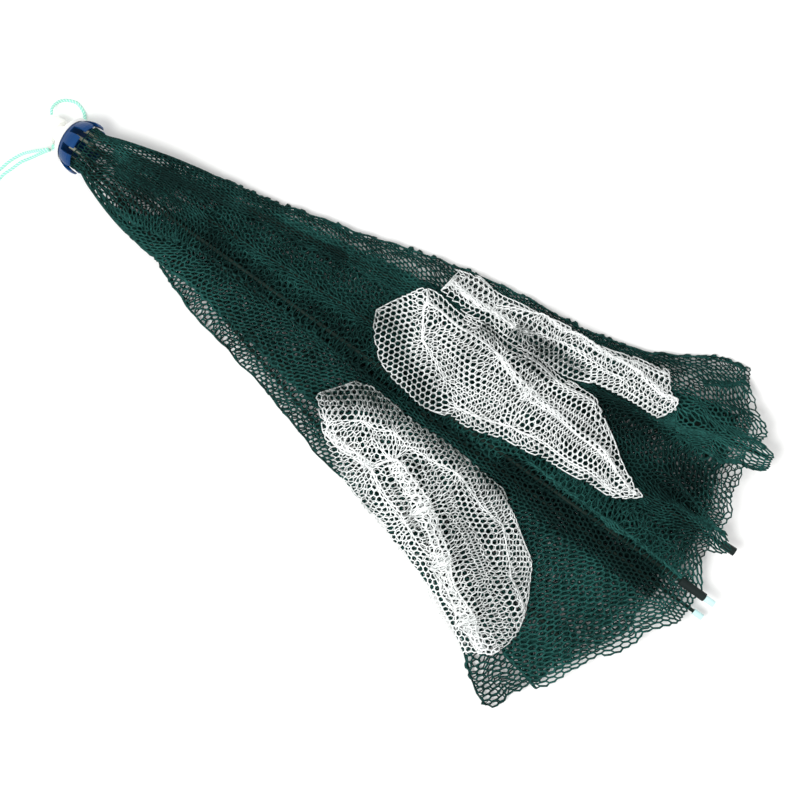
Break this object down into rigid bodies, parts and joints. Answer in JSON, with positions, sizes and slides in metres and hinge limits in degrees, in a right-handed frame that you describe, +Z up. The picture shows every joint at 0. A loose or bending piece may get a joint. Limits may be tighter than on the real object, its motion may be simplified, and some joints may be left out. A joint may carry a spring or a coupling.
{
  "type": "fishing net",
  "caption": "Umbrella-type fishing net folded shut: pleated green netting on ribs from a slotted blue hub, white netting entrance funnels, white cap and mint cord hand loop.",
  "frame": {"origin": "on the surface it lies on, under the middle of the bounding box of everything but the free cords", "axes": "+X from the hub to the hem, +Z up from the surface, +Y to the net's left when looking from hub to hem"},
  "size_m": [0.5918, 0.3036, 0.0388],
  "materials": {
    "green_netting": "knitted polyester netting, matt",
    "white_netting": "knitted polyester netting, matt",
    "blue_plastic": "moulded, semi-gloss",
    "white_plastic": "moulded, semi-gloss",
    "glass_fibre_rod": "drawn rod, smooth",
    "dark_rubber": "moulded, matt",
    "aqua_plastic": "moulded, translucent look",
    "mint_cord": "braided polyester"
  },
  "bodies": {
    "root": {"cover": "green_netting", "funnel_upper": "white_netting", "funnel_middle": "white_netting", "funnel_lower": "white_netting", "hub": "blue_plastic", "cap": "white_plastic", "rib_a": "glass_fibre_rod", "rib_b": "glass_fibre_rod", "rib_c": "glass_fibre_rod", "rib_d": "glass_fibre_rod", "rib_e": "glass_fibre_rod", "rib_f": "glass_fibre_rod", "rib_g": "glass_fibre_rod", "rib_h": "glass_fibre_rod", "ferrule_b": "dark_rubber", "ferrule_c": "dark_rubber", "tip_c": "aqua_plastic", "tip_d": "aqua_plastic", "bridge_cord": "mint_cord", "hand_loop": "mint_cord", "cord_knot": "mint_cord"}
  },
  "joints": []
}
